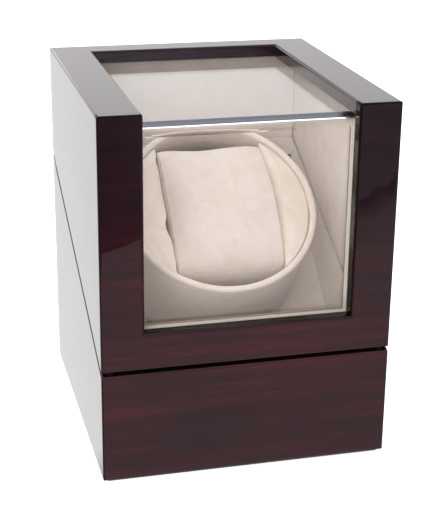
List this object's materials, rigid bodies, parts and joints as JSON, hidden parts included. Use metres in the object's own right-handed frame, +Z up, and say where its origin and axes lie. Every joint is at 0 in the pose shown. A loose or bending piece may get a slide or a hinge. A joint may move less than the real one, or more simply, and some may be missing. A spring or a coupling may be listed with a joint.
{
  "type": "watch winder box",
  "caption": "Lacquered watch winder box, split on a slant, with a bent clear window in its hinged lid and a geared suede drum that turns a watch on a pillow.",
  "frame": {"origin": "middle of the bounding box's underside, on the surface that the box stands on", "axes": "+Z up, -Y towards the front with the window, +X to the right seen from the front"},
  "size_m": [0.13, 0.1437, 0.165],
  "materials": {
    "mahogany_lacquer": "high-gloss lacquer over dark red-brown straight-grained wood",
    "black_felt": "short black felt",
    "cream_suede": "short-napped cream suede cloth",
    "bare_wood": "raw softwood",
    "clear_acrylic": "clear polished acrylic, bent once",
    "brass": "polished brass",
    "steel": "zinc-plated steel",
    "white_acetal": "white moulded acetal",
    "drum_plastic": "moulded plastic",
    "black_plastic": "fine-textured black plastic",
    "green_board": "solder-masked circuit board",
    "black_rubber": "soft black rubber"
  },
  "bodies": {
    "case": {"base_front_panel": "mahogany_lacquer", "base_left_panel": "mahogany_lacquer", "base_right_panel": "mahogany_lacquer", "base_back_panel": "mahogany_lacquer", "base_bottom_panel": "mahogany_lacquer", "base_felt": "black_felt", "base_left_lining": "cream_suede", "base_right_lining": "cream_suede", "base_front_lining": "cream_suede", "base_back_lining": "cream_suede", "drum_panel": "cream_suede", "panel_cleats": "bare_wood", "panel_bush": "brass", "plate_bush": "brass", "plate_pillars": "brass", "hinge_base_leaves": "brass", "hinge_pins": "brass", "hinge_base_screws": "brass", "carrier_plate": "steel", "plate_screws": "steel", "idler_axle": "steel", "axle_clip": "steel", "gear_motor": "steel", "motor_screws": "steel", "control_screws": "steel", "inlet_nut": "steel", "switch_bodies": "steel", "control_plate": "black_plastic", "power_inlet": "black_plastic", "board_parts": "black_plastic", "circuit_board": "green_board"},
    "lid": {"lid_left_side": "mahogany_lacquer", "lid_right_side": "mahogany_lacquer", "lid_back_panel": "mahogany_lacquer", "lid_front_frame": "mahogany_lacquer", "lid_top_frame": "mahogany_lacquer", "lid_window": "clear_acrylic", "window_retainer": "cream_suede", "lid_left_lining": "cream_suede", "lid_right_lining": "cream_suede", "lid_back_lining": "cream_suede", "lid_bumpers": "black_rubber", "hinge_lid_leaves": "brass", "hinge_lid_screws": "brass"},
    "drum": {"drum_shell": "drum_plastic", "drum_sleeve": "cream_suede", "drum_left_filler": "cream_suede", "drum_right_filler": "cream_suede", "drum_shaft": "steel", "shaft_screws": "steel", "drum_gear": "white_acetal", "shaft_clip": "steel"},
    "idler": {"idler_gear": "white_acetal"},
    "pinion": {"motor_pinion": "brass"},
    "pillow": {"pillow": "cream_suede"},
    "direction_switch": {"direction_slider": "black_plastic"},
    "program_switch": {"program_slider": "black_plastic"}
  },
  "joints": [
    {"name": "lid_hinge", "type": "hinge", "parent": "case", "child": "lid", "pos_m": [0, 0.07005, 0.112], "axis": [-1, 0, 0], "range_deg": [0, 95]},
    {"name": "drum_spin", "type": "hinge", "parent": "case", "child": "drum", "pos_m": [0, -0.01705, 0.1065], "axis": [0, -0.6534, 0.757], "continuous": true},
    {"name": "idler_spin", "type": "hinge", "parent": "case", "child": "idler", "pos_m": [0.0128, -0.03383, 0.09201], "axis": [0, -0.6534, 0.757], "continuous": true},
    {"name": "motor_spin", "type": "hinge", "parent": "case", "child": "pinion", "pos_m": [0.032, -0.03383, 0.09201], "axis": [0, -0.6534, 0.757], "continuous": true},
    {"name": "pillow_lift", "type": "slide", "parent": "drum", "child": "pillow", "axis": [0, -0.6534, 0.757], "range_m": [0, 0.012]},
    {"name": "direction_slide", "type": "slide", "parent": "case", "child": "direction_switch", "axis": [1, 0, 0], "range_m": [-0.0025, 0.0025]},
    {"name": "program_slide", "type": "slide", "parent": "case", "child": "program_switch", "axis": [1, 0, 0], "range_m": [0, 0.0075]}
  ],
  "couplings": [
    {"joint": "idler_spin", "follows": "drum_spin", "ratio": -3},
    {"joint": "motor_spin", "follows": "drum_spin", "ratio": 9}
  ]
}
